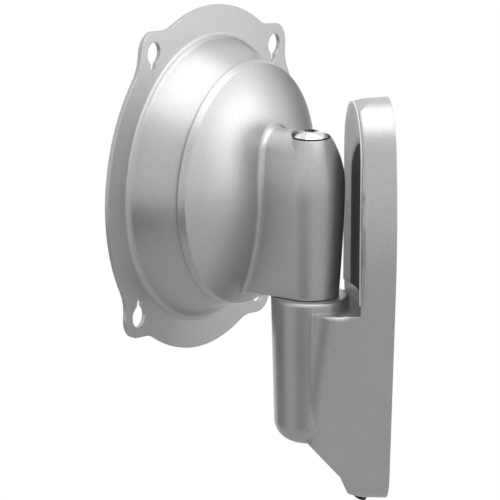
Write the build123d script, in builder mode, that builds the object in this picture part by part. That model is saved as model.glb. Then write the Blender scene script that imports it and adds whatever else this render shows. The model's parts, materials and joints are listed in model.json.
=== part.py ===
"""Swivelling wall mount for a small flat screen, in millimetres.

The wall is the plane Y = 0 and the mount stands out from it along -Y, with +Z up.
A column turns about a vertical bolt, a dome at its end carries a bowl-shaped faceplate,
and the faceplate tilts and rolls about the centre of its bowl.
"""
from build123d import *
from math import acos, asin, atan2, cos, degrees, radians, sin, sqrt, tan
import os

os.makedirs("parts", exist_ok=True)

# Clearances
SEAT = 0.05
RUNNING = 0.05
SLIDE = 0.3

# Wall housing
HOUSING_HEIGHT = 263.7
HOUSING_HALF_WIDTH = 38.0
HOUSING_CROWN = 33.0
HOUSING_SIDE_ARC = 300.0
HOUSING_TIP = 21.0
HOUSING_DEPTH = 22.0
HOUSING_DRAFT = 3.0
HOUSING_WALL = 3.2
CROWN_BACK = 4.0
CROWN_DROP = 6.5
FRONT_ROUND = 2.5
TROUGH_RADIUS = 99.0
TROUGH_DEPTH = 6.0

# Lobe under the column, and the neck that joins it to the housing
COLUMN_REACH = 49.0
LOBE_TOP = 5.6
LOBE_BOTTOM = -92.0
LOBE_TOP_RADIUS = 25.0
LOBE_LOW_RADIUS = 22.4
LOBE_UNDERSIDE = 3.0
LOBE_TOP_ROUND = 2.0
LOBE_LOW_ROUND = 14.0
NECK_TOP = (-52.5, 6.2)
NECK_LOW = (-61.0, -78.6)
NECK_ROUND = 15.0
NECK_BLEND = 3.0
SHELF_LOW = -1.2
SHELF_ROUND = 11.5
CHIN_BREAK = (-31.5, -111.6)
CHIN_CORNER = (-26.0, -124.4)
CHIN_HEEL = (-9.0, -132.0)
CHIN_ROUND = 5.0
PIVOT_BOSS_RADIUS = 12.0
PIVOT_BOSS_DEPTH = 23.0

# Wall plate, its hook and its bent ear
PLATE_SHEET = 4.0
PLATE_MARGIN = 1.2
PLATE_TOP = 110.0
PLATE_FOOT = -126.0
WALL_HOLE_SPACING = 160.0
WALL_HOLE_RADIUS = 3.5
HOOK_FLOOR = 97.0
HOOK_HALF = 12.0
HOOK_SHEET = 3.0
HOOK_LIP = 8.0
HANGER_THICKNESS = 4.2
EAR_SHEET = 3.0
EAR_HALF = 6.0
EAR_LIP = 10.0

# Chin screws
CHIN_SCREW_ALONG = 12.2
CHIN_SCREW_RADIUS = 2.5
CHIN_HEAD_RADIUS = 4.4
CHIN_HEAD_HEIGHT = 3.5
EAR_SETBACK = 11.0
GRUB_RADIUS = 3.5
GRUB_REACH = 12.0
GRUB_BOSS_RADIUS = 6.0
GRUB_BOSS_DEPTH = 9.0
GRUB_SINK = 0.3
GRUB_KEY = 3.0
GRUB_KEY_DEPTH = 3.0
CHIN_HEAD_ROUND = 1.4
CHIN_KEY = 3.0
CHIN_KEY_DEPTH = 2.0
CHIN_SCREW_TAIL = 1.5

# Column bolt
BOLT_RADIUS = 6.35
BOLT_HEAD_RADIUS = 11.1
BOLT_HEAD_EDGE = 2.0
BOLT_HEAD_CROWN = 4.5
BOLT_KEY = 8.0
BOLT_KEY_DEPTH = 4.0
BOLT_RIM = 107.9
BOLT_WASHER = 1.5
BOLT_FLATS = 19.0
BOLT_NUT_HEIGHT = 12.0
BOLT_TAIL = 2.5
PIVOT_WASHER = 2.5
PIVOT_SPRING_RADIUS = 13.0
NUT_COLLAR = 0.3
NUT_COLLAR_STEP = 1.0

# Column barrel: radii and heights up its side
BARREL_GAP = 0.5
BARREL_SIDE = ((18.9, 14.3), (20.7, 44.3), (21.6, 66.3), (20.4, 89.3), (17.2, 99.3))
BARREL_FOOT_RADIUS = 18.4
BARREL_LAND_RADIUS = 13.0
BARREL_LAND = 107.8
THRUST_WASHER = 1.5
THRUST_RADIUS = 15.0
BUSHING_RADIUS = 9.0
BUSHING_LENGTH = 22.0
RECESS_CLEARANCE = 1.2

# Dome at the end of the column
DISC_HEIGHT = 72.3
REST_SWIVEL = 39.6
DOME_RIM_RADIUS = 79.0
DOME_RIM_OUT = 48.3
DOME_SHOULDER_RADIUS = 77.0
DOME_CAP_RADIUS = 150.0
DOME_APEX_OUT = 22.3
DOME_WALL = 2.5
WEB_BLEND = 4.0

# Faceplate
REST_ROLL = 6.57
FLANGE_BACK_OUT = 77.4
FACE_SHEET = 2.5
FACE_DISC_RADIUS = 111.2
FACE_EAR_ROUND = 0.79
FACE_EAR_BLEND = 1.5
FACE_CREASE = 4.5
KEY_ACROSS = 140.6
KEY_UP = 166.0
KEY_MARGIN = 14.0
KEY_MARGIN_UP = 13.6
KEY_RADIUS = 7.0
KEY_NECK_RADIUS = 2.8
KEY_DROP = 8.5
KEY_NECK_BLEND = 2.5

# Spherical seat between the dome, the guide dish and the bowl
BOWL_RADIUS = 95.5
BOWL_AT_RIM = 74.22
BOWL_OPENING_STEP = 0.48
LINER_SETBACK = 1.0
LINER_RADIUS = 75.4
LINER_END_RADIUS = 71.0
DOME_LIP_STEP = 1.2
DISH_SHEET = 3.0
DISH_RIM_TURN = 7.5
DISH_LAND_STEP = 0.5
DISH_CAP_POLAR = 22.0
DISH_FLOOR_RADIUS = 65.0
DISH_FLOOR_GAP = 3.6
GLIDE_SHEET = 1.25
GLIDE_TURN = 0.5
TILT_LIMIT = 5.0

# Centre stud and its washers
STUD_RADIUS = 5.0
STUD_GRIP = 12.2
SADDLE_RADIUS = 17.0
SADDLE_EDGE = 3.3
SEAT_WASHER_RADIUS = 18.0
SEAT_WASHER_SHEET = 0.75
SPRING_SHEET = 1.2
SPRING_CONE = 0.8
SPRING_RADIUS = 11.0
STUD_WASHER = 2.0
STUD_FLATS = 17.0
STUD_NUT_HEIGHT = 10.0
STUD_TAIL = 1.5
STUD_CHAMFER = 0.8

# Places worked out from the sizes above
half_height = HOUSING_HEIGHT / 2
column = Plane((0, -COLUMN_REACH, 0))
head = column.rotated((0, 0, -REST_SWIVEL))
forward = -head.y_dir
disc_axis = head.origin + Vector(0, 0, DISC_HEIGHT)
column_axis = Axis(column.origin, (0, 0, 1))
dome_axis = Axis(disc_axis, forward)
barrel_foot = LOBE_TOP + BARREL_GAP
bolt_seat = BOLT_RIM - BOLT_HEAD_EDGE
recess_floor = bolt_seat - BOLT_WASHER - SEAT
recess_radius = BOLT_HEAD_RADIUS + RECESS_CLEARANCE
seat_centre_out = DOME_RIM_OUT + sqrt(BOWL_RADIUS**2 - BOWL_AT_RIM**2)
dome_centre = seat_centre_out - (DOME_APEX_OUT + DOME_CAP_RADIUS)
dome_inside = DOME_CAP_RADIUS - DOME_WALL
lip_radius = BOWL_RADIUS + SLIDE
bowl_opening = BOWL_AT_RIM + BOWL_OPENING_STEP
bowl_inside = BOWL_RADIUS - FACE_SHEET
dish_rim_radius = bowl_inside - SLIDE - GLIDE_SHEET - SEAT
dish_land_radius = BOWL_RADIUS - DISH_LAND_STEP
dish_cap_radius = dome_centre + dome_inside - SEAT - SEAT_WASHER_SHEET - SLIDE


def across(out):
    """Plane square to the dome's axis, out from the column, facing away from the wall."""
    return Plane(disc_axis + forward * out, x_dir=head.x_dir, z_dir=forward)


# Half sections round the bowl's centre: X is the distance towards the wall, Y the radius
seat = Plane(disc_axis + forward * seat_centre_out, x_dir=-forward, z_dir=head.x_dir)


def rolled(out):
    """The same plane turned by the faceplate's roll."""
    lean = head.x_dir * cos(radians(REST_ROLL)) + column.z_dir * sin(radians(REST_ROLL))
    return Plane(disc_axis + forward * out, x_dir=lean, z_dir=forward)


def polar(radius, angle):
    """Point of a half section on a sphere round the bowl's centre."""
    return (radius * cos(radians(angle)), radius * sin(radians(angle)))


def on_sphere(radius, r, centre=0.0):
    """Point of a half section on a sphere, at the distance r from the axis."""
    return (centre + sqrt(radius**2 - r**2), r)


def sphere_arc(radius, start_r, end_r, centre=0.0):
    """Arc of a half section on a sphere, between two distances from the axis."""
    middle_r = (start_r + end_r) / 2
    return ThreePointArc(
        on_sphere(radius, start_r, centre), on_sphere(radius, middle_r, centre), on_sphere(radius, end_r, centre)
    )


def circles(builder, radius):
    """Round edges of a part in the making that have the radius."""
    return builder.edges().filter_by(GeomType.CIRCLE).filter_by(lambda edge: abs(edge.radius - radius) < SEAT)


def on_cap(edge):
    """Whether an edge runs over the dome's outer sphere, inside its shoulder."""
    cap_centre = disc_axis + forward * (DOME_APEX_OUT + DOME_CAP_RADIUS)
    points = [edge @ place for place in (0.1, 0.5, 0.9)]
    at_radius = all(abs((point - cap_centre).length - DOME_CAP_RADIUS) < SEAT for point in points)
    return at_radius and all((point - disc_axis).cross(forward).length < DOME_SHOULDER_RADIUS - DOME_LIP_STEP for point in points)


def on_lobe(edge):
    """Whether an edge runs down the lobe's tapered side, where the housing meets it."""
    taper = (LOBE_TOP_RADIUS - LOBE_LOW_RADIUS) / (LOBE_TOP - LOBE_BOTTOM - LOBE_UNDERSIDE)
    points = [edge @ place - column.origin for place in (0.05, 0.5, 0.95)]
    beside = all(LOBE_BOTTOM + LOBE_LOW_ROUND < point.Z < SHELF_LOW for point in points)
    radii = [LOBE_TOP_RADIUS - (LOBE_TOP - point.Z) * taper for point in points]
    return beside and all(abs(sqrt(p.X**2 + p.Y**2) - radius) < SLIDE for p, radius in zip(points, radii))


def housing_outline():
    """Egg-shaped outline of the housing against the wall: two end arcs, long side arcs and straight flanks."""
    crown_height = half_height - HOUSING_CROWN
    side_in = HOUSING_SIDE_ARC - HOUSING_HALF_WIDTH
    side_height = crown_height - sqrt((HOUSING_SIDE_ARC - HOUSING_CROWN) ** 2 - side_in**2)
    tip_height = HOUSING_TIP - half_height
    upper_turn = degrees(atan2(crown_height - side_height, side_in))
    span = sqrt(side_in**2 + (side_height - tip_height) ** 2)
    lower_turn = degrees(atan2(side_height - tip_height, side_in) - acos((HOUSING_SIDE_ARC - HOUSING_TIP) / span))
    tip_start = (HOUSING_TIP * cos(radians(lower_turn)), tip_height - HOUSING_TIP * sin(radians(lower_turn)))
    with BuildSketch() as outline:
        with BuildLine():
            crown = JernArc((0, half_height), (1, 0), HOUSING_CROWN, upper_turn - 90)
            side = JernArc(crown @ 1, crown % 1, HOUSING_SIDE_ARC, -upper_turn - lower_turn)
            Line(side @ 1, tip_start)
            RadiusArc(tip_start, (0, -half_height), HOUSING_TIP)
            mirror(about=Plane.YZ)
        make_face()
    return outline.sketch


def lobe_profile(inset):
    """Half section of the lobe, drawn in by inset."""
    top = LOBE_TOP - inset
    low = LOBE_BOTTOM + inset
    side_end = (LOBE_LOW_RADIUS - inset, low + LOBE_UNDERSIDE)
    with BuildSketch() as profile:
        with BuildLine():
            Polyline((0, top), (LOBE_TOP_RADIUS - inset, top), side_end, (0, low), close=True)
        make_face()
        corners = profile.vertices().sort_by(Axis.X)[-2:]
        fillet(corners.sort_by(Axis.Y)[0], LOBE_LOW_ROUND - inset)
        fillet(profile.vertices().sort_by(Axis.X)[-1], max(LOBE_TOP_ROUND - inset, 0.5))
    return profile.sketch


def housing_form(inset):
    """Outside of the housing, drawn in by inset everywhere but at its open back."""
    wide = LOBE_TOP_RADIUS * 4
    shelf_low = (-HOUSING_DEPTH - SHELF_ROUND, SHELF_LOW)
    with BuildPart() as form:
        with BuildSketch(Plane.XZ.offset(-inset)):
            add(housing_outline())
            offset(amount=-inset)
        extrude(amount=inset - NECK_LOW[0], taper=HOUSING_DRAFT)
        with BuildSketch(Plane.YZ) as side_view:
            with BuildLine():
                crown = TangentArc((-CROWN_BACK, half_height), (-HOUSING_DEPTH, half_height - CROWN_DROP), tangent=(-1, 0))
                Line(crown @ 1, (-HOUSING_DEPTH, SHELF_LOW + SHELF_ROUND))
                RadiusArc((-HOUSING_DEPTH, SHELF_LOW + SHELF_ROUND), shelf_low, SHELF_ROUND)
                TangentArc(shelf_low, NECK_TOP, tangent=(-1, 0))
                Polyline(
                    NECK_TOP, NECK_LOW, CHIN_BREAK, CHIN_CORNER, CHIN_HEEL, (wide, CHIN_HEEL[1]), (wide, half_height), crown @ 0
                )
            make_face()
            fillet(side_view.vertices().filter_by(lambda v: (v.X, v.Y) in (CHIN_BREAK, CHIN_CORNER)), CHIN_ROUND)
            offset(amount=-inset)
        extrude(amount=wide, both=True, mode=Mode.INTERSECT)
        neck_front = form.faces().sort_by(Axis.Y)[0]
        fillet(neck_front.edges().filter_by(Axis.X, reverse=True), NECK_ROUND - inset)
    return form


def lobe_form(inset):
    """The lobe that carries the column, turned about the column's axis."""
    with BuildPart() as lobe:
        with BuildSketch(Plane(column.origin, x_dir=(1, 0, 0), z_dir=(0, -1, 0))):
            add(lobe_profile(inset))
        revolve(axis=column_axis)
    return lobe.part


def trough_form(inset):
    """Space of the trough down the housing's front, round at its top, grown by inset."""
    radius = TROUGH_RADIUS + inset
    crown_height = half_height - HOUSING_CROWN - FRONT_ROUND
    trough_y = TROUGH_DEPTH - HOUSING_DEPTH - TROUGH_RADIUS
    with BuildPart() as space:
        with BuildSketch(Plane.XY.offset(SHELF_LOW - inset)):
            with Locations((0, trough_y)):
                Circle(radius)
        extrude(amount=crown_height - SHELF_LOW + inset)
        with Locations((0, trough_y, crown_height)):
            Sphere(radius)
    return space.part


# Chin faces: each plane's X runs across the mount and its Z points out of the chin
chin_run = (Vector(0, *CHIN_HEEL) - Vector(0, *CHIN_CORNER)).normalized()
chin_out = Vector(0, chin_run.Z, -chin_run.Y)
screw_seat = Vector(0, *CHIN_CORNER) + chin_run * CHIN_SCREW_ALONG
chin_floor = Plane(screw_seat, x_dir=(1, 0, 0), z_dir=chin_out)
grub_run = (Vector(0, *CHIN_CORNER) - Vector(0, *CHIN_BREAK)).normalized()
grub_out = Vector(0, grub_run.Z, -grub_run.Y)
grub_mouth = (Vector(0, *CHIN_CORNER) + Vector(0, *CHIN_BREAK)) / 2
chin_front = Plane(grub_mouth, x_dir=(1, 0, 0), z_dir=grub_out)

# Hollow of the housing, less the boss, hanger and screw boss cast inside it
hanger_back = PLATE_SHEET + SLIDE
with BuildPart() as hollow:
    add(housing_form(HOUSING_WALL))
    add(trough_form(HOUSING_WALL), mode=Mode.SUBTRACT)
    add(lobe_form(HOUSING_WALL))
    with BuildSketch(Plane.XY.offset(LOBE_TOP)):
        with Locations(column.origin):
            Circle(PIVOT_BOSS_RADIUS)
    extrude(amount=-PIVOT_BOSS_DEPTH, mode=Mode.SUBTRACT)
    with BuildSketch(Plane.XZ.offset(hanger_back)):
        with Locations((0, HOOK_FLOOR + SEAT)):
            Rectangle(HOUSING_HALF_WIDTH * 2, half_height, align=(Align.CENTER, Align.MIN))
    extrude(amount=HANGER_THICKNESS, mode=Mode.SUBTRACT)
    with BuildSketch(chin_front):
        Circle(GRUB_BOSS_RADIUS)
    extrude(amount=-GRUB_BOSS_DEPTH, mode=Mode.SUBTRACT)

with BuildPart() as wall_housing:
    add(housing_form(0))
    front_rim = wall_housing.edges().filter_by_position(Axis.Y, -HOUSING_DEPTH - SEAT, SEAT - HOUSING_DEPTH)
    fillet(front_rim.filter_by_position(Axis.Z, SHELF_ROUND, HOUSING_HEIGHT), FRONT_ROUND)
    add(trough_form(0), mode=Mode.SUBTRACT)
    add(lobe_form(0))
    add(hollow.part, mode=Mode.SUBTRACT)
    with BuildSketch(Plane.XY.offset(LOBE_TOP)):
        with Locations(column.origin):
            Circle(BOLT_RADIUS + RUNNING)
    extrude(amount=-PIVOT_BOSS_DEPTH, mode=Mode.SUBTRACT)
    with BuildSketch(chin_floor.offset(SEAT)):
        Circle(CHIN_SCREW_RADIUS + RUNNING)
    extrude(amount=-HOUSING_WALL * 2, mode=Mode.SUBTRACT)
    with BuildSketch(chin_front.offset(CHIN_ROUND)):
        Circle(GRUB_RADIUS + RUNNING)
    extrude(amount=-GRUB_REACH - CHIN_ROUND, mode=Mode.SUBTRACT)
    curved = wall_housing.edges().filter_by(GeomType.LINE, reverse=True).filter_by(GeomType.CIRCLE, reverse=True)
    fillet(curved.filter_by(on_lobe), NECK_BLEND)
wall_housing.part.label = "wall_housing"
export_step(wall_housing.part, "parts/wall_housing.step")

# Steel plate on the wall, with its hook for the hanger and its ear for the chin screws
ear_face = Plane(screw_seat - chin_out * EAR_SETBACK, x_dir=(1, 0, 0), z_dir=-chin_out)
lip_face = Plane(grub_mouth - grub_out * GRUB_REACH, x_dir=(1, 0, 0), z_dir=-grub_out)
ear_back = (-PLATE_SHEET / 2 - ear_face.origin.Y) / chin_run.Y
ear_front = (lip_face.origin - ear_face.origin).dot(grub_out) / chin_run.dot(grub_out)
lip_foot = (ear_face.origin - lip_face.origin).dot(chin_out) / grub_run.dot(chin_out)
hook_reach = SLIDE + HANGER_THICKNESS + SLIDE + HOOK_SHEET
with BuildPart() as wall_plate:
    with BuildSketch(Plane.XZ):
        add(housing_outline())
        offset(amount=-HOUSING_WALL - PLATE_MARGIN)
        with Locations((0, (PLATE_TOP + PLATE_FOOT) / 2)):
            Rectangle(HOUSING_HALF_WIDTH * 2, PLATE_TOP - PLATE_FOOT, mode=Mode.INTERSECT)
        with GridLocations(0, WALL_HOLE_SPACING, 1, 2):
            Circle(WALL_HOLE_RADIUS, mode=Mode.SUBTRACT)
    extrude(amount=PLATE_SHEET)
    with BuildSketch(Plane.YZ):
        with Locations((-PLATE_SHEET, HOOK_FLOOR)):
            Rectangle(hook_reach, HOOK_SHEET, align=(Align.MAX, Align.MAX))
        with Locations((-PLATE_SHEET - hook_reach, HOOK_FLOOR - HOOK_SHEET)):
            Rectangle(HOOK_SHEET, HOOK_LIP + HOOK_SHEET, align=(Align.MIN, Align.MIN))
    extrude(amount=HOOK_HALF, both=True)
    with BuildSketch(ear_face):
        with Locations((0, ear_front)):
            Rectangle(EAR_HALF * 2, ear_back - ear_front, align=(Align.CENTER, Align.MIN))
    extrude(amount=EAR_SHEET)
    with BuildSketch(lip_face):
        with Locations((0, lip_foot)):
            Rectangle(EAR_HALF * 2, EAR_LIP, align=(Align.CENTER, Align.MAX))
    extrude(amount=EAR_SHEET)
    with BuildSketch(ear_face):
        Circle(CHIN_SCREW_RADIUS + RUNNING)
    extrude(amount=EAR_SHEET, mode=Mode.SUBTRACT)
wall_plate.part.label = "wall_plate"
export_step(wall_plate.part, "parts/wall_plate.step")

# Pan-head screw up through the chin into the ear
with BuildPart() as bottom_screw:
    with BuildSketch(chin_floor):
        Circle(CHIN_HEAD_RADIUS)
    extrude(amount=CHIN_HEAD_HEIGHT)
    fillet(bottom_screw.faces().sort_by(Axis(screw_seat, chin_out))[-1].edges(), CHIN_HEAD_ROUND)
    with BuildSketch(chin_floor.offset(CHIN_HEAD_HEIGHT)):
        RegularPolygon(CHIN_KEY / 2, 6, major_radius=False)
    extrude(amount=-CHIN_KEY_DEPTH, mode=Mode.SUBTRACT)
    with BuildSketch(chin_floor):
        Circle(CHIN_SCREW_RADIUS)
    extrude(amount=-EAR_SETBACK - EAR_SHEET - CHIN_SCREW_TAIL)
bottom_screw.part.label = "bottom_screw"
export_step(bottom_screw.part, "parts/bottom_screw.step")

# Headless screw that clamps the housing against the ear's lip
with BuildPart() as chin_set_screw:
    with BuildSketch(chin_front.offset(-GRUB_SINK)):
        Circle(GRUB_RADIUS)
    extrude(amount=GRUB_SINK + SEAT - GRUB_REACH)
    with BuildSketch(chin_front.offset(-GRUB_SINK)):
        RegularPolygon(GRUB_KEY / 2, 6, major_radius=False)
    extrude(amount=-GRUB_KEY_DEPTH, mode=Mode.SUBTRACT)
chin_set_screw.part.label = "chin_set_screw"
export_step(chin_set_screw.part, "parts/chin_set_screw.step")


def spring_pair(plane, bore, radius):
    """Two coned spring washers, rim of the first at the plane, stacked along the plane's Z."""
    cone = SPRING_CONE
    pitch = SPRING_SHEET + SEAT
    with BuildPart() as pair:
        with BuildSketch(Plane(plane.origin, x_dir=plane.x_dir, z_dir=-plane.y_dir)):
            with BuildLine():
                Polyline(
                    (bore, cone), (radius, 0), (radius, SPRING_SHEET), (bore, cone + SPRING_SHEET), close=True
                )
            make_face()
            with BuildLine():
                Polyline(
                    (bore, cone + pitch), (radius, cone * 2 + pitch), (radius, cone * 2 + pitch + SPRING_SHEET),
                    (bore, cone + pitch + SPRING_SHEET), close=True
                )
            make_face()
        revolve(axis=Axis(plane.origin, plane.z_dir))
    return pair.part


spring_stack = 2 * SPRING_CONE + 2 * SPRING_SHEET + SEAT


def ring(plane, bore, radius, height):
    """Flat ring with its bore centred on the plane, standing along the plane's Z."""
    with BuildPart() as flat_ring:
        with BuildSketch(plane):
            Circle(radius)
            Circle(bore, mode=Mode.SUBTRACT)
        extrude(amount=height)
    return flat_ring.part


def lock_nut(plane, bore, flats, height):
    """Hexagon nut with a round collar, standing along the plane's Z."""
    collar = height * NUT_COLLAR
    with BuildPart() as nut:
        with BuildSketch(plane):
            RegularPolygon(flats / 2, 6, major_radius=False)
        extrude(amount=height - collar)
        with BuildSketch(plane.offset(height - collar)):
            Circle(flats / 2 - NUT_COLLAR_STEP)
        extrude(amount=collar)
        with BuildSketch(plane):
            Circle(bore)
        extrude(amount=height, mode=Mode.SUBTRACT)
    return nut.part


# Column bolt, hanging from its button head
below_boss = LOBE_TOP - PIVOT_BOSS_DEPTH - SEAT
spring_foot = below_boss - spring_stack - SEAT
nut_top = spring_foot - PIVOT_WASHER - SEAT
crown_radius = (BOLT_HEAD_RADIUS**2 + BOLT_HEAD_CROWN**2) / (2 * BOLT_HEAD_CROWN)
with BuildPart() as pivot_bolt:
    with BuildSketch(Plane(column.origin, x_dir=(1, 0, 0), z_dir=(0, -1, 0))):
        with BuildLine():
            Polyline(
                (0, nut_top - BOLT_NUT_HEIGHT - BOLT_TAIL), (BOLT_RADIUS, nut_top - BOLT_NUT_HEIGHT - BOLT_TAIL),
                (BOLT_RADIUS, bolt_seat), (BOLT_HEAD_RADIUS, bolt_seat), (BOLT_HEAD_RADIUS, BOLT_RIM)
            )
            RadiusArc((BOLT_HEAD_RADIUS, BOLT_RIM), (0, BOLT_RIM + BOLT_HEAD_CROWN), -crown_radius)
            Line((0, BOLT_RIM + BOLT_HEAD_CROWN), (0, nut_top - BOLT_NUT_HEIGHT - BOLT_TAIL))
        make_face()
    revolve(axis=column_axis)
    with BuildSketch(column.offset(BOLT_RIM + BOLT_HEAD_CROWN - BOLT_KEY_DEPTH)):
        RegularPolygon(BOLT_KEY / 2, 6, major_radius=False)
    extrude(amount=BOLT_KEY_DEPTH * 2, mode=Mode.SUBTRACT)
pivot_bolt.part.label = "pivot_bolt"
export_step(pivot_bolt.part, "parts/pivot_bolt.step")

bolt_washer = ring(column.offset(bolt_seat - BOLT_WASHER), BOLT_RADIUS + RUNNING, BOLT_HEAD_RADIUS, BOLT_WASHER)
bolt_washer.label = "bolt_washer"
export_step(bolt_washer, "parts/bolt_washer.step")

thrust_washer = ring(column.offset(LOBE_TOP), BOLT_RADIUS + RUNNING, THRUST_RADIUS, THRUST_WASHER)
thrust_washer.label = "thrust_washer"
export_step(thrust_washer, "parts/thrust_washer.step")

under_boss = Plane((0, -COLUMN_REACH, below_boss), x_dir=(1, 0, 0), z_dir=(0, 0, -1))
pivot_disc_springs = spring_pair(under_boss, BOLT_RADIUS + RUNNING, PIVOT_SPRING_RADIUS)
pivot_disc_springs.label = "pivot_disc_springs"
export_step(pivot_disc_springs, "parts/pivot_disc_springs.step")

pivot_nut_washer = ring(column.offset(spring_foot - PIVOT_WASHER), BOLT_RADIUS + RUNNING, PIVOT_SPRING_RADIUS, PIVOT_WASHER)
pivot_nut_washer.label = "pivot_nut_washer"
export_step(pivot_nut_washer, "parts/pivot_nut_washer.step")

pivot_lock_nut = lock_nut(
    Plane((0, -COLUMN_REACH, nut_top), x_dir=(1, 0, 0), z_dir=(0, 0, -1)), BOLT_RADIUS + RUNNING, BOLT_FLATS, BOLT_NUT_HEIGHT
)
pivot_lock_nut.label = "pivot_lock_nut"
export_step(pivot_lock_nut, "parts/pivot_lock_nut.step")

# Column barrel, web and dome, cast in one
dome_side = on_sphere(DOME_CAP_RADIUS, DOME_SHOULDER_RADIUS, dome_centre)
rim_at = seat_centre_out - DOME_RIM_OUT
wall_bore = DOME_RIM_RADIUS - DOME_WALL
inner_shoulder = on_sphere(dome_inside, DOME_SHOULDER_RADIUS - DOME_LIP_STEP, dome_centre)
with BuildPart() as head_casting:
    with BuildSketch(Plane(column.origin, x_dir=head.x_dir, z_dir=forward)):
        with BuildLine():
            base = Polyline((0, barrel_foot), (BARREL_FOOT_RADIUS, barrel_foot))
            side = Spline(base @ 1, *BARREL_SIDE, (BARREL_LAND_RADIUS, BARREL_LAND))
            Line(side @ 1, (0, BARREL_LAND))
            Line((0, BARREL_LAND), (0, barrel_foot))
        make_face()
    revolve(axis=column_axis)
    with BuildSketch(Plane(column.origin, x_dir=head.x_dir, z_dir=forward)):
        with BuildLine():
            shoulder_at = side.param_at_point(BARREL_SIDE[-1])
            shoulder = side.trim(0, shoulder_at)
            lean = atan2((side % shoulder_at).Y, -(side % shoulder_at).X)
            crown = (0, BARREL_SIDE[-1][1] + BARREL_SIDE[-1][0] * tan(lean / 2))
            add(shoulder)
            TangentArc(BARREL_SIDE[-1], crown, tangent=side % shoulder_at)
            Polyline(crown, (0, barrel_foot), (BARREL_FOOT_RADIUS, barrel_foot))
        make_face()
        mirror(about=Plane.YZ)
    extrude(amount=DOME_RIM_OUT - DOME_WALL)
    with BuildSketch(seat):
        with BuildLine():
            Polyline((rim_at, 0), (rim_at, DOME_RIM_RADIUS), dome_side)
            sphere_arc(DOME_CAP_RADIUS, DOME_SHOULDER_RADIUS, 0, dome_centre)
            Line((dome_centre + DOME_CAP_RADIUS, 0), (rim_at, 0))
        make_face()
    revolve(axis=dome_axis)
    with BuildSketch(seat):
        with BuildLine():
            Polyline((rim_at - SEAT, 0), (rim_at - SEAT, wall_bore), (rim_at, wall_bore), inner_shoulder)
            sphere_arc(dome_inside, DOME_SHOULDER_RADIUS - DOME_LIP_STEP, 0, dome_centre)
            Line((dome_centre + dome_inside, 0), (rim_at - SEAT, 0))
        make_face()
    revolve(axis=dome_axis, mode=Mode.SUBTRACT)
    with BuildSketch(column.offset(recess_floor)):
        Circle(recess_radius)
    extrude(amount=BOLT_HEAD_RADIUS, mode=Mode.SUBTRACT)
    with BuildSketch(column.offset(barrel_foot)):
        Circle(BUSHING_RADIUS)
    extrude(amount=recess_floor - barrel_foot, mode=Mode.SUBTRACT)
    with BuildSketch(column.offset(barrel_foot)):
        Circle(THRUST_RADIUS + SLIDE)
    extrude(amount=THRUST_WASHER - BARREL_GAP + SEAT, mode=Mode.SUBTRACT)
    with BuildSketch(across(DOME_APEX_OUT + DOME_WALL * 2)):
        Circle(STUD_RADIUS + RUNNING)
    extrude(amount=-STUD_GRIP - DOME_WALL, mode=Mode.SUBTRACT)
    fillet(head_casting.edges().filter_by(on_cap), WEB_BLEND)
head_casting.part.label = "head_casting"
export_step(head_casting.part, "parts/head_casting.step")

# Plain bushings at both ends of the column's bore
upper_bushing = ring(
    column.offset(recess_floor - SEAT - BUSHING_LENGTH), BOLT_RADIUS + RUNNING, BUSHING_RADIUS - RUNNING, BUSHING_LENGTH
)
upper_bushing.label = "upper_bushing"
export_step(upper_bushing, "parts/upper_bushing.step")
lower_bushing = ring(
    column.offset(LOBE_TOP + THRUST_WASHER + SEAT), BOLT_RADIUS + RUNNING, BUSHING_RADIUS - RUNNING, BUSHING_LENGTH
)
lower_bushing.label = "lower_bushing"
export_step(lower_bushing, "parts/lower_bushing.step")

# Nylon liner of the dome's lip, hollowed to the bowl's sphere
seat_back = dome_inside - SEAT
liner_front = rim_at + LINER_SETBACK
liner_mouth = (liner_front, sqrt(lip_radius**2 - liner_front**2))
liner_inner = on_sphere(lip_radius, LINER_END_RADIUS)
liner_outer = on_sphere(seat_back, LINER_END_RADIUS, dome_centre)
liner_shoulder = on_sphere(seat_back, LINER_RADIUS, dome_centre)
with BuildPart() as lip_liner:
    with BuildSketch(seat):
        with BuildLine():
            sphere_arc(lip_radius, liner_mouth[1], LINER_END_RADIUS)
            Line(liner_inner, liner_outer)
            sphere_arc(seat_back, LINER_END_RADIUS, LINER_RADIUS, dome_centre)
            Polyline(liner_shoulder, (liner_front, LINER_RADIUS), liner_mouth)
        make_face()
    revolve(axis=dome_axis)
lip_liner.part.label = "lip_liner"
export_step(lip_liner.part, "parts/lip_liner.step")

# Centre stud and the washers stacked on it, from the dome out
stud_end = seat_centre_out - DOME_APEX_OUT - DOME_WALL + STUD_GRIP - SEAT
saddle_sphere = dish_cap_radius - DISH_SHEET - SLIDE
saddle_face = on_sphere(saddle_sphere, SADDLE_RADIUS)[0] - SADDLE_EDGE
stud_spring_face = saddle_face - SEAT - spring_stack
stud_nut_face = stud_spring_face - SEAT - STUD_WASHER - SEAT
stud_length = stud_end - stud_nut_face + STUD_NUT_HEIGHT + STUD_TAIL
bore = STUD_RADIUS + RUNNING

with BuildPart() as centre_stud:
    with BuildSketch(across(seat_centre_out - stud_end)):
        Circle(STUD_RADIUS)
    extrude(amount=stud_length)
    chamfer(centre_stud.faces().sort_by(Axis(disc_axis, forward))[-1].edges(), STUD_CHAMFER)
centre_stud.part.label = "centre_stud"
export_step(centre_stud.part, "parts/centre_stud.step")

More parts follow.
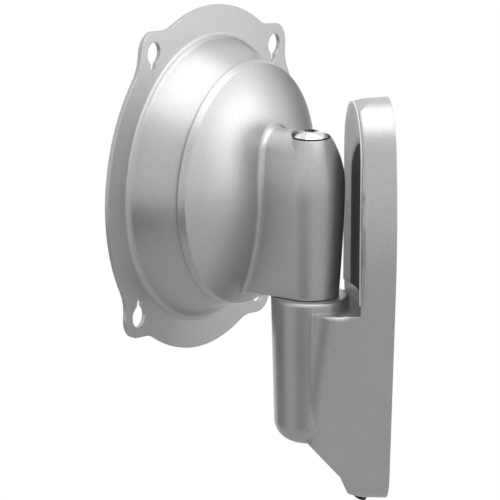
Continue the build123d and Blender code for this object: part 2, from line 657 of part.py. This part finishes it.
seat_front = dish_cap_radius + SLIDE
with BuildPart() as seat_washer:
    with BuildSketch(seat):
        with BuildLine():
            sphere_arc(seat_front, bore, SEAT_WASHER_RADIUS)
            Line(on_sphere(seat_front, SEAT_WASHER_RADIUS), on_sphere(seat_back, SEAT_WASHER_RADIUS, dome_centre))
            sphere_arc(seat_back, SEAT_WASHER_RADIUS, bore, dome_centre)
            Line(on_sphere(seat_back, bore, dome_centre), on_sphere(seat_front, bore))
        make_face()
    revolve(axis=dome_axis)
seat_washer.part.label = "seat_washer"
export_step(seat_washer.part, "parts/seat_washer.step")

with BuildPart() as saddle_washer:
    with BuildSketch(seat):
        with BuildLine():
            sphere_arc(saddle_sphere, bore, SADDLE_RADIUS)
            Polyline(
                on_sphere(saddle_sphere, SADDLE_RADIUS), (saddle_face, SADDLE_RADIUS), (saddle_face, bore),
                on_sphere(saddle_sphere, bore)
            )
        make_face()
    revolve(axis=dome_axis)
saddle_washer.part.label = "saddle_washer"
export_step(saddle_washer.part, "parts/saddle_washer.step")

disc_springs = spring_pair(across(seat_centre_out - saddle_face + SEAT), bore, SPRING_RADIUS)
disc_springs.label = "disc_springs"
export_step(disc_springs, "parts/disc_springs.step")

stud_washer = ring(across(seat_centre_out - stud_spring_face + SEAT), bore, SPRING_RADIUS, STUD_WASHER)
stud_washer.label = "stud_washer"
export_step(stud_washer, "parts/stud_washer.step")

stud_lock_nut = lock_nut(across(seat_centre_out - stud_nut_face), bore, STUD_FLATS, STUD_NUT_HEIGHT)
stud_lock_nut.label = "stud_lock_nut"
export_step(stud_lock_nut, "parts/stud_lock_nut.step")

# Pressed guide dish: tilts on the dome's spheres and carries the bowl on its spigot
spigot = bowl_opening - SLIDE
spigot_polar = degrees(asin(spigot / dish_rim_radius))
rim_outer = polar(dish_rim_radius, spigot_polar + DISH_RIM_TURN)
rim_inner = polar(dish_rim_radius - DISH_SHEET, spigot_polar + DISH_RIM_TURN)
spigot_foot = on_sphere(dish_rim_radius, spigot)
spigot_top = on_sphere(dish_land_radius, spigot)
floor_rim = (on_sphere(dome_inside, DISH_FLOOR_RADIUS, dome_centre)[0] - DISH_FLOOR_GAP, DISH_FLOOR_RADIUS)
floor_cap = polar(dish_cap_radius, DISH_CAP_POLAR)
inner_foot = on_sphere(dish_rim_radius - DISH_SHEET, spigot - DISH_SHEET)
inner_cap_radius = dish_cap_radius - DISH_SHEET
inner_cap = polar(inner_cap_radius, DISH_CAP_POLAR)
floor_run = (Vector(*floor_cap) - Vector(*floor_rim)).normalized()
inner_rim = Vector(*floor_rim) + Vector(floor_run.Y, -floor_run.X) * DISH_SHEET
slot_half = dish_cap_radius * sin(radians(TILT_LIMIT)) + bore + SLIDE
with BuildPart() as guide_dish:
    with BuildSketch(seat):
        with BuildLine():
            sphere_arc(dish_rim_radius, rim_outer[1], spigot)
            Polyline(spigot_foot, spigot_top, floor_rim, floor_cap)
            sphere_arc(dish_cap_radius, floor_cap[1], 0)
            Line((dish_cap_radius, 0), (inner_cap_radius, 0))
            sphere_arc(inner_cap_radius, 0, inner_cap[1])
            Polyline(inner_cap, (inner_rim.X, inner_rim.Y), inner_foot)
            sphere_arc(dish_rim_radius - DISH_SHEET, inner_foot[1], rim_inner[1])
            Line(rim_inner, rim_outer)
        make_face()
    revolve(axis=dome_axis)
    with BuildSketch(across(seat_centre_out)):
        SlotOverall(slot_half * 2, bore * 2 + SLIDE, rotation=90)
    extrude(amount=-dish_land_radius, mode=Mode.SUBTRACT)
guide_dish.part.label = "guide_dish"
export_step(guide_dish.part, "parts/guide_dish.step")

# Nylon ring between the dish's rim and the bowl
with BuildPart() as glide_ring:
    inner = dish_rim_radius + SEAT
    outer = bowl_inside - SLIDE
    glide_start = spigot_polar + GLIDE_TURN
    glide_end = spigot_polar + DISH_RIM_TURN - GLIDE_TURN
    with BuildSketch(seat):
        with BuildLine():
            Line(polar(inner, glide_end), polar(outer, glide_end))
            sphere_arc(outer, polar(outer, glide_end)[1], polar(outer, glide_start)[1])
            Line(polar(outer, glide_start), polar(inner, glide_start))
            sphere_arc(inner, polar(inner, glide_start)[1], polar(inner, glide_end)[1])
        make_face()
    revolve(axis=dome_axis)
glide_ring.part.label = "glide_ring"
export_step(glide_ring.part, "parts/glide_ring.step")

# Faceplate: a flat flange with four keyholes, pressed into a bowl
flange_back = seat_centre_out - FLANGE_BACK_OUT
flange_front = flange_back - FACE_SHEET
face_width = KEY_ACROSS + KEY_MARGIN * 2
face_height = KEY_UP + KEY_MARGIN_UP * 2
ear_reach = sqrt(face_width**2 + face_height**2) / 2 - FACE_DISC_RADIUS
with BuildPart() as faceplate:
    with BuildSketch(rolled(FLANGE_BACK_OUT)) as face:
        Circle(FACE_DISC_RADIUS)
        Rectangle(face_width, face_height)
        corners = face.vertices().filter_by(lambda v: abs(v.X) + abs(v.Y) > (face_width + face_height) / 2 - SEAT)
        fillet(corners, ear_reach * FACE_EAR_ROUND)
        notches = face.vertices().filter_by(lambda v: abs(sqrt(v.X**2 + v.Y**2) - FACE_DISC_RADIUS) < SEAT)
        fillet(notches, ear_reach * FACE_EAR_BLEND)
    extrude(amount=FACE_SHEET)
    with BuildSketch(seat):
        Circle(BOWL_RADIUS)
        with Locations((flange_front, 0)):
            Rectangle(BOWL_RADIUS * 2, BOWL_RADIUS * 2, align=(Align.MIN, Align.CENTER), mode=Mode.INTERSECT)
        Rectangle(BOWL_RADIUS, BOWL_RADIUS, align=(Align.MIN, Align.MIN), mode=Mode.INTERSECT)
    revolve(axis=dome_axis)
    with BuildSketch(seat):
        Circle(bowl_inside)
        Rectangle(BOWL_RADIUS, BOWL_RADIUS, align=(Align.MIN, Align.MIN), mode=Mode.INTERSECT)
    revolve(axis=dome_axis, mode=Mode.SUBTRACT)
    with BuildSketch(across(seat_centre_out)):
        Circle(bowl_opening)
    extrude(amount=-BOWL_RADIUS, mode=Mode.SUBTRACT)
    with BuildSketch(rolled(FLANGE_BACK_OUT)) as keyholes:
        with GridLocations(KEY_ACROSS, KEY_UP, 2, 2):
            Circle(KEY_RADIUS)
        with GridLocations(KEY_ACROSS, KEY_UP - KEY_DROP, 2, 2):
            SlotCenterToCenter(KEY_DROP, KEY_NECK_RADIUS * 2, rotation=90)
        neck_start = KEY_UP / 2 - sqrt(KEY_RADIUS**2 - KEY_NECK_RADIUS**2)
        fillet(keyholes.vertices().filter_by(lambda v: abs(abs(v.Y) - neck_start) < SEAT), KEY_NECK_BLEND)
    extrude(amount=FACE_SHEET, mode=Mode.SUBTRACT)
    fillet(circles(faceplate, sqrt(BOWL_RADIUS**2 - flange_back**2)), FACE_CREASE)
    fillet(circles(faceplate, sqrt(bowl_inside**2 - flange_front**2)), FACE_CREASE + FACE_SHEET)
faceplate.part.label = "faceplate"
export_step(faceplate.part, "parts/faceplate.step")
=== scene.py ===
# %% [markdown]
# A swivelling wall mount for a small flat screen, dressed around its imported model. A cast
# housing stands against the wall, a column turns on its lobe, and a dome on the column carries
# a pressed faceplate shaped like a bowl. The shapes could be modelled again here, but the packed
# solids already have their true sizes. So they stay as they are, and this file gives them their
# soft edges and paint, adds a dark ring that paints the gap shadow at the bolt's head, a pale trim
# that paints light and a dark mat that paints shade in the trough, and sets up the studio.

# %% Load the frame
import json
from math import cos, radians, sin

import bpy
from mathutils import Matrix, Vector

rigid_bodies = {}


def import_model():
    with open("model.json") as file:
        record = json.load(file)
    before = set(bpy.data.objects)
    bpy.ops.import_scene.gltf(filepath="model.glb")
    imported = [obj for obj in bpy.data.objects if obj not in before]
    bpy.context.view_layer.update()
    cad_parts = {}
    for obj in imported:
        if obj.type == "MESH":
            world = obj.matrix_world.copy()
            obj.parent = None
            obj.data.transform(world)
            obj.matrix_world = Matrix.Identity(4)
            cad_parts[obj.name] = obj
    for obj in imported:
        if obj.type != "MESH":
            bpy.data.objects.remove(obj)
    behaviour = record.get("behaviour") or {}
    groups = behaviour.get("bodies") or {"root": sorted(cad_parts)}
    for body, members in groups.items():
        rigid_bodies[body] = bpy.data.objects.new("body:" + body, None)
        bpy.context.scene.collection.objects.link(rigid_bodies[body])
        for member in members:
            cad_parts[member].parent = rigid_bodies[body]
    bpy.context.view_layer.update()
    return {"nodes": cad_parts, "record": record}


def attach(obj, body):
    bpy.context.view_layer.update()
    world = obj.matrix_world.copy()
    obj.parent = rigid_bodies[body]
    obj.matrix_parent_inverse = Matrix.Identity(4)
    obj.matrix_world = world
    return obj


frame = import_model()
nodes = frame["nodes"]
joints = {joint["name"]: joint for joint in frame["record"]["behaviour"]["joints"]}
swivel_at = Vector(joints["swivel"]["pos_m"])

# %% [markdown]
# The camera stands far off with a long lens, a little above the mount and almost square to
# its side, so the round dome shows as a narrow ellipse and upright edges stay upright. It could
# be turned by eye in the viewport. Here its direction is worked out from two angles, because
# those were measured, and a vector turned into a rotation never tips the horizon.

# %% Camera
CAMERA_AT = Vector((1.8088, -0.3096, 0.5112))
CAMERA_AZIMUTH = radians(83)
CAMERA_ELEVATION = radians(14.62)
CAMERA_LENS = 214.7
SENSOR_WIDTH = 36
FARTHEST_SEEN = 20

backward = Vector((
    sin(CAMERA_AZIMUTH) * cos(CAMERA_ELEVATION),
    -cos(CAMERA_AZIMUTH) * cos(CAMERA_ELEVATION),
    sin(CAMERA_ELEVATION),
))
camera_data = bpy.data.cameras.new("camera")
camera_data.lens = CAMERA_LENS
camera_data.sensor_width = SENSOR_WIDTH
camera_data.clip_end = FARTHEST_SEEN
camera = bpy.data.objects.new("camera", camera_data)
camera.location = CAMERA_AT
camera.rotation_euler = backward.to_track_quat("Z", "Y").to_euler()
bpy.context.scene.collection.objects.link(camera)
bpy.context.scene.camera = camera
bpy.context.scene.view_settings.view_transform = "Standard"
print("camera looks along", [round(part, 3) for part in -backward], "lens", CAMERA_LENS)

# %% [markdown]
# A material is a net of nodes. It could be wired up line by line, which is long and hard to
# read. Here shader maths reads like arithmetic instead: a Socket wraps a node's output, the
# operators add Math nodes, and one method of the Shader class adds any other node, with its
# settings first. All noise is laid out on Object coordinates, so it stays on its piece.

# %% Shader helpers
BEVEL_SAMPLES = 6


class Socket:
    """A node's output that takes part in arithmetic."""

    def __init__(self, tree, output):
        self.tree = tree
        self.output = output

    def math(self, operation, left, right):
        node = self.tree.nodes.new("ShaderNodeMath")
        node.operation = operation
        for place, value in zip(node.inputs, (left, right)):
            if isinstance(value, Socket):
                self.tree.links.new(value.output, place)
            else:
                place.default_value = value
        return Socket(self.tree, node.outputs[0])

    def __add__(self, other):
        return self.math("ADD", self, other)

    __radd__ = __add__

    def __mul__(self, other):
        return self.math("MULTIPLY", self, other)

    __rmul__ = __mul__


class Shader:
    """A material with one principled surface, built up node by node."""

    def __init__(self, name, **constants):
        self.material = bpy.data.materials.new(name)
        self.material.use_nodes = True
        self.tree = self.material.node_tree
        self.surface = self.tree.nodes["Principled BSDF"]
        for socket, value in constants.items():
            self.surface.inputs[socket.replace("_", " ")].default_value = value

    def node(self, kind, settings=None, output=0, **links):
        """Any node: its settings first, then a value or a link for each socket named."""
        node = self.tree.nodes.new(kind)
        for name, value in (settings or {}).items():
            if name == "stops":
                for element, (position, colour) in zip(node.color_ramp.elements, value):
                    element.position = position
                    element.color = colour
            else:
                setattr(node, name, value)
        for name, value in links.items():
            if isinstance(value, Socket):
                self.tree.links.new(value.output, node.inputs[name])
            else:
                node.inputs[name].default_value = value
        return Socket(self.tree, node.outputs[output])

    def place(self):
        return self.node("ShaderNodeTexCoord", output="Object")

    def noise(self, scale, detail=2.0):
        return self.node("ShaderNodeTexNoise", Vector=self.place(), Scale=scale, Detail=detail)

    def feed(self, **links):
        """Link what varies over the surface into it, and give back the material."""
        for name, value in links.items():
            self.tree.links.new(value.output, self.surface.inputs[name.replace("_", " ")])
        return self.material

    def colours(self, factor, dark, light):
        """A colour that runs from dark to light as the factor goes from 0 to 1."""
        stops = ((0.0, (*dark, 1)), (1.0, (*light, 1)))
        return self.node("ShaderNodeValToRGB", {"stops": stops}, Fac=factor)

    def bump(self, height, strength, distance, edge=0.0):
        """A fine relief, on a surface whose edges are rounded first if edge is given."""
        links = {"Height": height, "Strength": strength, "Distance": distance}
        if edge:
            links["Normal"] = self.node("ShaderNodeBevel", {"samples": BEVEL_SAMPLES}, Radius=edge)
        return self.node("ShaderNodeBump", **links)


def grey(level):
    """A grey in linear light."""
    return (level, level, level)


# %% [markdown]
# The castings and the pressed plate carry the same silver-grey metallic paint: a satin coat
# with fine bright flakes. Two noises make it, a fine one for the flakes and a wide one for
# the faint clouding of a sprayed coat. The flakes also lift the surface a hair. Thick paint
# rounds every cast edge. A Bevel modifier could do that in the mesh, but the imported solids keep
# theirs, so a Bevel node turns the light around the edges instead.

# %% Paint
EDGE_SOFTNESS = 0.0009
FLAKE_SCALE = 2400.0
FLAKE_RANGE = {"From Min": 0.35, "From Max": 0.65}
FLAKE_SHARE = 0.75
FLAKE_ROUGHNESS = 0.06
FLAKE_LIFT = 0.12
FLAKE_HEIGHT = 0.00008
CLOUD_SCALE = 22.0
CLOUD_ROUGHNESS = 0.08
PAINT_TONES = (0.8, 1.2)
COAT_LEAST = 0.2
COAT_SPREAD = 0.1
COAT_ROUGHNESS = 0.3


def painted(name, level, metallic, roughness):
    """Metallic paint: flakes and clouds vary its colour, roughness and clear coat."""
    shader = Shader(name, Metallic=metallic, Coat_Roughness=COAT_ROUGHNESS, Specular_IOR_Level=0.5)
    flakes = shader.noise(FLAKE_SCALE, 1.0)
    clouds = shader.noise(CLOUD_SCALE, 3.0)
    speckle = shader.node("ShaderNodeMapRange", Value=flakes, **FLAKE_RANGE)
    tone = speckle * FLAKE_SHARE + clouds * (1 - FLAKE_SHARE)
    smoothest = roughness - (CLOUD_ROUGHNESS + FLAKE_ROUGHNESS) / 2
    dark, light = (grey(level * part) for part in PAINT_TONES)
    return shader.feed(
        Base_Color=shader.colours(tone, dark, light),
        Roughness=clouds * CLOUD_ROUGHNESS + speckle * FLAKE_ROUGHNESS + smoothest,
        Coat_Weight=COAT_LEAST + clouds * COAT_SPREAD,
        Normal=shader.bump(flakes, FLAKE_LIFT, FLAKE_HEIGHT, EDGE_SOFTNESS),
    )


cast_paint = painted("cast_paint", level=0.47, metallic=0.8, roughness=0.38)
plate_paint = painted("plate_paint", level=0.45, metallic=0.8, roughness=0.38)
dish_paint = painted("dish_paint", level=0.36, metallic=0.7, roughness=0.45)
print("paints", [paint.name for paint in (cast_paint, plate_paint, dish_paint)])

# %% [markdown]
# The bolt is bright plate, the washers and nuts are duller zinc, the chin screws are blacked,
# and the sliding rings are dark nylon. One plain colour each would do at this size, but plated
# metal is never even: a fine noise varies its roughness and lifts it a hair, and a wider one
# clouds its colour. Moulded plastic gets a grain in the same way. Two functions make them all,
# so that a finish is one line of numbers.

# %% Metals and nylon
METAL_CLOUD_SCALE = 120.0
MARK_SHARE = 0.5
MARK_HEIGHT = 0.00005
METAL_TONES = (0.82, 1.12)
GRAIN_SCALE = 1500.0
GRAIN_SHARE = 0.6
GRAIN_ROUGHNESS = 0.15
GRAIN_LIFT = 0.2
GRAIN_HEIGHT = 0.0001
MOULDED_CLOUD_SCALE = 60.0
MOULDED_TONES = (0.7, 1.4)


def metal(name, colour, roughness, spread, scale, lift=0.1):
    """Bare or plated metal, whose marks spread its roughness around a middle value."""
    shader = Shader(name, Metallic=1.0)
    marks = shader.noise(scale, 4.0)
    clouds = shader.noise(METAL_CLOUD_SCALE, 2.0)
    tone = marks * MARK_SHARE + clouds * (1 - MARK_SHARE)
    dark, light = (tuple(part * share for part in colour) for share in METAL_TONES)
    return shader.feed(
        Base_Color=shader.colours(tone, dark, light),
        Roughness=marks * spread + (roughness - spread / 2),
        Normal=shader.bump(marks, lift, MARK_HEIGHT),
    )


def moulded(name, level, roughness):
    """Plastic or rubber with the fine grain of its mould."""
    shader = Shader(name, Specular_IOR_Level=0.4)
    grain = shader.noise(GRAIN_SCALE, 3.0)
    clouds = shader.noise(MOULDED_CLOUD_SCALE, 2.0)
    tone = grain * GRAIN_SHARE + clouds * (1 - GRAIN_SHARE)
    dark, light = (grey(level * part) for part in MOULDED_TONES)
    return shader.feed(
        Base_Color=shader.colours(tone, dark, light),
        Roughness=grain * GRAIN_ROUGHNESS + roughness,
        Normal=shader.bump(grain, GRAIN_LIFT, GRAIN_HEIGHT),
    )


chrome = metal(
    "bright_plate", (0.78, 0.8, 0.83), roughness=0.09, spread=0.06, scale=700.0, lift=0.03
)
zinc = metal("zinc_plate", (0.58, 0.59, 0.6), roughness=0.36, spread=0.14, scale=900.0)
plate_zinc = metal(
    "wall_plate_zinc", (0.5, 0.51, 0.53), roughness=0.42, spread=0.16, scale=500.0
)
spring_steel = metal("spring_steel", (0.26, 0.26, 0.28), roughness=0.4, spread=0.16, scale=900.0)
bronze = metal(
    "sintered_bronze", (0.52, 0.36, 0.17), roughness=0.5, spread=0.2, scale=1600.0, lift=0.2
)
black_oxide = metal("black_oxide", (0.03, 0.03, 0.032), roughness=0.42, spread=0.16, scale=900.0)
nylon = moulded("dark_nylon", level=0.03, roughness=0.45)
metals = (chrome, zinc, plate_zinc, spring_steel, bronze, black_oxide)
print("metals and nylon", [material.name for material in (*metals, nylon)])

# %% [markdown]
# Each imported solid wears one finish, as each real piece is painted or plated before it is put
# together. A material could be chosen face by face, but that is only needed where one piece
# shows two finishes. The table runs from finish to pieces, which keeps every finish in sight.

# %% Finishes
FINISHES = {
    cast_paint: ("wall_housing", "head_casting"),
    plate_paint: ("faceplate",),
    dish_paint: ("guide_dish",),
    plate_zinc: ("wall_plate",),
    black_oxide: ("bottom_screw", "chin_set_screw"),
    chrome: ("pivot_bolt",),
    zinc: (
        "bolt_washer", "pivot_nut_washer", "stud_washer", "saddle_washer",
        "centre_stud", "pivot_lock_nut", "stud_lock_nut",
    ),
    spring_steel: ("pivot_disc_springs", "disc_springs"),
    nylon: ("thrust_washer", "lip_liner", "seat_washer", "glide_ring"),
    bronze: ("upper_bushing", "lower_bushing"),
}
for material, names in FINISHES.items():
    for name in names:
        nodes[name].data.materials.clear()
        nodes[name].data.materials.append(material)
dressed = sum(len(names) for names in FINISHES.values())
print("finishes", len(FINISHES), "on nodes", dressed, "of", len(nodes))

# %% [markdown]
# A dark rubber ring hugs the column bolt's head and paints the gap shadow there as a black
# line. The torus primitive would give it too. A Geometry Nodes tree that sweeps a round section
# around a circle is used, because its two sizes stay named inputs, and another path would need no
# new mesh code. The result becomes a plain mesh, which rides with the housing.

# %% Painted shadow ring
HEAD_SHADOW_RING_RADIUS = 0.01175
HEAD_SHADOW_RING_SECTION = 0.00065
HEAD_SHADOW_RING_HEIGHT = 0.1081
RING_STEPS = 144
SECTION_STEPS = 14

# This near-black rubber paints the gap shadow around the bolt's head.
shadow_ring_rubber = moulded("shadow_ring_rubber", level=0.012, roughness=0.5)


def ring_tree():
    """A tree that sweeps a round section around a circle."""
    tree = bpy.data.node_groups.new("ring", "GeometryNodeTree")
    sizes = {}
    for label in ("Radius", "Section"):
        socket = tree.interface.new_socket(label, in_out="INPUT", socket_type="NodeSocketFloat")
        sizes[label] = socket.identifier
    tree.interface.new_socket("Geometry", in_out="OUTPUT", socket_type="NodeSocketGeometry")
    inputs = tree.nodes.new("NodeGroupInput")
    path = tree.nodes.new("GeometryNodeCurvePrimitiveCircle")
    path.inputs["Resolution"].default_value = RING_STEPS
    section = tree.nodes.new("GeometryNodeCurvePrimitiveCircle")
    section.inputs["Resolution"].default_value = SECTION_STEPS
    sweep = tree.nodes.new("GeometryNodeCurveToMesh")
    smooth = tree.nodes.new("GeometryNodeSetShadeSmooth")
    realize = tree.nodes.new("GeometryNodeRealizeInstances")
    finish = tree.nodes.new("GeometryNodeSetMaterial")
    finish.inputs["Material"].default_value = shadow_ring_rubber
    result = tree.nodes.new("NodeGroupOutput")
    tree.links.new(inputs.outputs["Radius"], path.inputs["Radius"])
    tree.links.new(inputs.outputs["Section"], section.inputs["Radius"])
    tree.links.new(path.outputs["Curve"], sweep.inputs["Curve"])
    tree.links.new(section.outputs["Curve"], sweep.inputs["Profile Curve"])
    tree.links.new(sweep.outputs["Mesh"], smooth.inputs["Geometry"])
    tree.links.new(smooth.outputs["Geometry"], realize.inputs["Geometry"])
    tree.links.new(realize.outputs["Geometry"], finish.inputs["Geometry"])
    tree.links.new(finish.outputs["Geometry"], result.inputs["Geometry"])
    return tree, sizes


rings, ring_sizes = ring_tree()
print("ring tree: nodes", len(rings.nodes), "inputs", list(ring_sizes))


def make_shadow_ring(name, body, place, axis, radius, section):
    """A dark rubber ring around an axis that paints a gap shadow, as a plain mesh at its place."""
    maker = bpy.data.objects.new(name + "_maker", bpy.data.meshes.new(name + "_maker"))
    bpy.context.scene.collection.objects.link(maker)
    modifier = maker.modifiers.new("ring", "NODES")
    modifier.node_group = rings
    modifier[ring_sizes["Radius"]] = radius
    modifier[ring_sizes["Section"]] = section
    bpy.context.view_layer.update()
    made = maker.evaluated_get(bpy.context.evaluated_depsgraph_get())
    mesh = bpy.data.meshes.new_from_object(made)
    bpy.data.objects.remove(maker)
    mesh.transform(Matrix.Translation(place) @ axis.to_track_quat("Z", "Y").to_matrix().to_4x4())
    mesh.name = name
    ring = bpy.data.objects.new(name, mesh)
    bpy.context.scene.collection.objects.link(ring)
    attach(ring, body)
    print(name, "faces", len(mesh.polygons))


head = Vector((*swivel_at.xy, HEAD_SHADOW_RING_HEIGHT))
upright = Vector((0, 0, 1))
# The ring at the bolt's head paints the gap shadow there.
make_shadow_ring("head_shadow_ring", "wall_bracket", head, upright, HEAD_SHADOW_RING_RADIUS, HEAD_SHADOW_RING_SECTION)

# %% [markdown]
# Behind the column, the trough's far half shows a pale lilac-grey strip of light, with a dark
# arch of shade beside it. A pale trim paints that light onto the trough, and a dark mat in its
# arch paints the shade. A flat sheet could be shrink-wrapped onto the trough, but the trough is a
# plain cylinder with a round top, so its wall is known at every point. The trim is a band between
# two arch-shaped paths, the mat fills the inner path, and every point is set onto that wall
# before Solidify gives the thickness.

# %% Painted light and shade in the trough
TROUGH_RADIUS = 0.099
TROUGH_CENTRE = Vector((0, -0.115, 0.09635))
SHEET_THICKNESS = 0.0009
SHEET_LIFT = SHEET_THICKNESS * 0.6
ARCH_FOOT = 0.006
LIGHT_BAND_OUTER = 0.0332
ARCH_HALF = 0.0225
ARCH_SPRING = 0.080
LEG_STEPS = 24
TURN_STEPS = 40
BAND_STEPS = 6

# The pale trim paints the light on the trough's far half, and the dark mat paints the shade in its
# arch.
painted_light_trim = moulded("painted_light_trim", level=0.8, roughness=0.5)
painted_shade_mat = moulded("painted_shade_mat", level=0.05, roughness=0.6)


def arch(half_width, spring):
    """Points of an arch across the trough, from its left foot over the top to its right foot."""
    rise = (spring - ARCH_FOOT) / LEG_STEPS
    left = [(-half_width, ARCH_FOOT + rise * step) for step in range(LEG_STEPS)]
    turns = [radians(180 * step / TURN_STEPS) for step in range(TURN_STEPS + 1)]
    over = [(-half_width * cos(turn), spring + half_width * sin(turn)) for turn in turns]
    return left + over + [(-across, height) for across, height in reversed(left)]


def on_trough(across, height, lift):
    """A point just off the trough's wall, which is a cylinder with a round top."""
    above = max(height - TROUGH_CENTRE.z, 0)
    depth = (TROUGH_RADIUS**2 - across**2 - above**2) ** 0.5
    return (across, TROUGH_CENTRE.y + depth - lift, height)


def sheet_on_trough(name, outer, inner, material):
    """A thin sheet between two paths across the trough."""
    points = []
    for (outer_x, outer_z), (inner_x, inner_z) in zip(outer, inner):
        for step in range(BAND_STEPS + 1):
            share = step / BAND_STEPS
            across = outer_x + (inner_x - outer_x) * share
            height = outer_z + (inner_z - outer_z) * share
            points.append(on_trough(across, height, SHEET_LIFT))
    row = BAND_STEPS + 1
    starts = [place * row + step for place in range(len(outer) - 1) for step in range(BAND_STEPS)]
    faces = [(first, first + row, first + row + 1, first + 1) for first in starts]
    mesh = bpy.data.meshes.new(name)
    mesh.from_pydata(points, [], faces)
    mesh.polygons.foreach_set("use_smooth", [True] * len(faces))
    mesh.materials.append(material)
    sheet = bpy.data.objects.new(name, mesh)
    bpy.context.scene.collection.objects.link(sheet)
    skin = sheet.modifiers.new("thickness", "SOLIDIFY")
    skin.thickness = SHEET_THICKNESS
    skin.offset = 0
    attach(sheet, "wall_bracket")
    print(name, "faces", len(faces))


opening = arch(ARCH_HALF, ARCH_SPRING)
middle_line = [(0, height) for across, height in opening]
# The pale band paints light on the trough's far half, and the dark fill paints the shade in the
# arch.
sheet_on_trough("trough_painted_light", arch(LIGHT_BAND_OUTER, TROUGH_CENTRE.z), opening, painted_light_trim)
sheet_on_trough("trough_painted_shade", opening, middle_line, painted_shade_mat)

# %% [markdown]
# The studio is white all round. What the camera and the bright surfaces see of it has a
# strength of 1, while soft light from it stays low. An evenly white room would leave satin
# metal flat, because it has nothing dark to mirror. So a wide soft box hangs overhead, a smaller
# one stands beyond the wall side, and three dark upright panels show as reflections in the
# paint, where they give the round forms their shade. The camera doesn't see the panels. A pale
# floor lies under the mount.

# %% Studio
SOFT_STRENGTH = 0.5
SEEN_STRENGTH = 1.0
MOUNT_MIDDLE = (0, -0.08, 0.03)
UNIT_CORNERS = ((-0.5, -0.5), (0.5, -0.5), (0.5, 0.5), (-0.5, 0.5))
PAPER_SCALE = 3.0
PAPER_ROUGHNESS = 0.9
PANEL_TONE = 1.2
FLOOR_TONES = (0.6, 0.64)
FLOOR_Z = -0.42
FLOOR_SIZE = (2.4, 3.1)
FLOOR_MIDDLE = (0.68, -0.15)

world = bpy.data.worlds.new("studio")
bpy.context.scene.world = world
world.use_nodes = True
tree = world.node_tree
background = tree.nodes["Background"]
background.inputs["Color"].default_value = (1, 1, 1, 1)
paths = tree.nodes.new("ShaderNodeLightPath")
seen = paths.outputs["Is Camera Ray"]
for ray in ("Is Glossy Ray", "Is Transmission Ray"):
    either = tree.nodes.new("ShaderNodeMath")
    either.operation = "MAXIMUM"
    tree.links.new(seen, either.inputs[0])
    tree.links.new(paths.outputs[ray], either.inputs[1])
    seen = either.outputs[0]
strength = tree.nodes.new("ShaderNodeMapRange")
strength.inputs["To Min"].default_value = SOFT_STRENGTH
strength.inputs["To Max"].default_value = SEEN_STRENGTH
tree.links.new(seen, strength.inputs["Value"])
tree.links.new(strength.outputs[0], background.inputs["Strength"])


def soft_box(name, place, width, height, power):
    """A rectangular lamp that faces the mount and that the camera doesn't see."""
    data = bpy.data.lights.new(name, "AREA")
    data.shape = "RECTANGLE"
    data.size = width
    data.size_y = height
    data.energy = power
    box = bpy.data.objects.new(name, data)
    box.location = place
    away = Vector(place) - Vector(MOUNT_MIDDLE)
    box.rotation_euler = away.to_track_quat("Z", "Y").to_euler()
    box.visible_camera = False
    bpy.context.scene.collection.objects.link(box)


def board(name, points, place, dark, light, **surface):
    """A flat sheet of paper that belongs to the studio, not to the mount."""
    mesh = bpy.data.meshes.new(name)
    mesh.from_pydata(points, [], [(0, 1, 2, 3)])
    sheet = bpy.data.objects.new(name, mesh)
    sheet.location = place
    bpy.context.scene.collection.objects.link(sheet)
    paper = Shader(name + "_paper", Roughness=PAPER_ROUGHNESS, **surface)
    tones = paper.colours(paper.noise(PAPER_SCALE), grey(dark), grey(light))
    mesh.materials.append(paper.feed(Base_Color=tones))
    return sheet


def panel(name, place, turn, width, height, shade):
    """An upright panel that shows only in what the bright paint mirrors."""
    points = [(x * width, 0, z * height) for x, z in UNIT_CORNERS]
    sheet = board(name, points, place, shade, shade * PANEL_TONE, Specular_IOR_Level=0.1)
    sheet.rotation_euler = (0, 0, radians(turn))
    for kind in ("camera", "diffuse", "shadow"):
        setattr(sheet, "visible_" + kind, False)


soft_box("overhead", (0.1, 0.15, 1.15), width=1.4, height=1.3, power=10)
soft_box("beyond_wall", (0.15, 1.25, 0.3), width=0.9, height=0.9, power=6)
panel("flag_right", (-0.72, 0.5, 0.0), turn=50, width=0.45, height=0.9, shade=0.03)
panel("flag_left", (-0.3, -0.75, -0.25), turn=-22, width=0.7, height=0.34, shade=0.12)
panel("flag_front", (0.64, -0.45, -0.25), turn=58, width=0.52, height=0.32, shade=0.03)

floor_corners = [(x * FLOOR_SIZE[0], y * FLOOR_SIZE[1], 0) for x, y in UNIT_CORNERS]
floor_place = (*FLOOR_MIDDLE, FLOOR_Z)
floor = board("floor", floor_corners, floor_place, *FLOOR_TONES, Specular_IOR_Level=0.2)
lamps = sum(thing.type == "LIGHT" for thing in bpy.context.scene.objects)
print("studio: lamps", lamps, "floor at", FLOOR_Z, "size", FLOOR_SIZE)
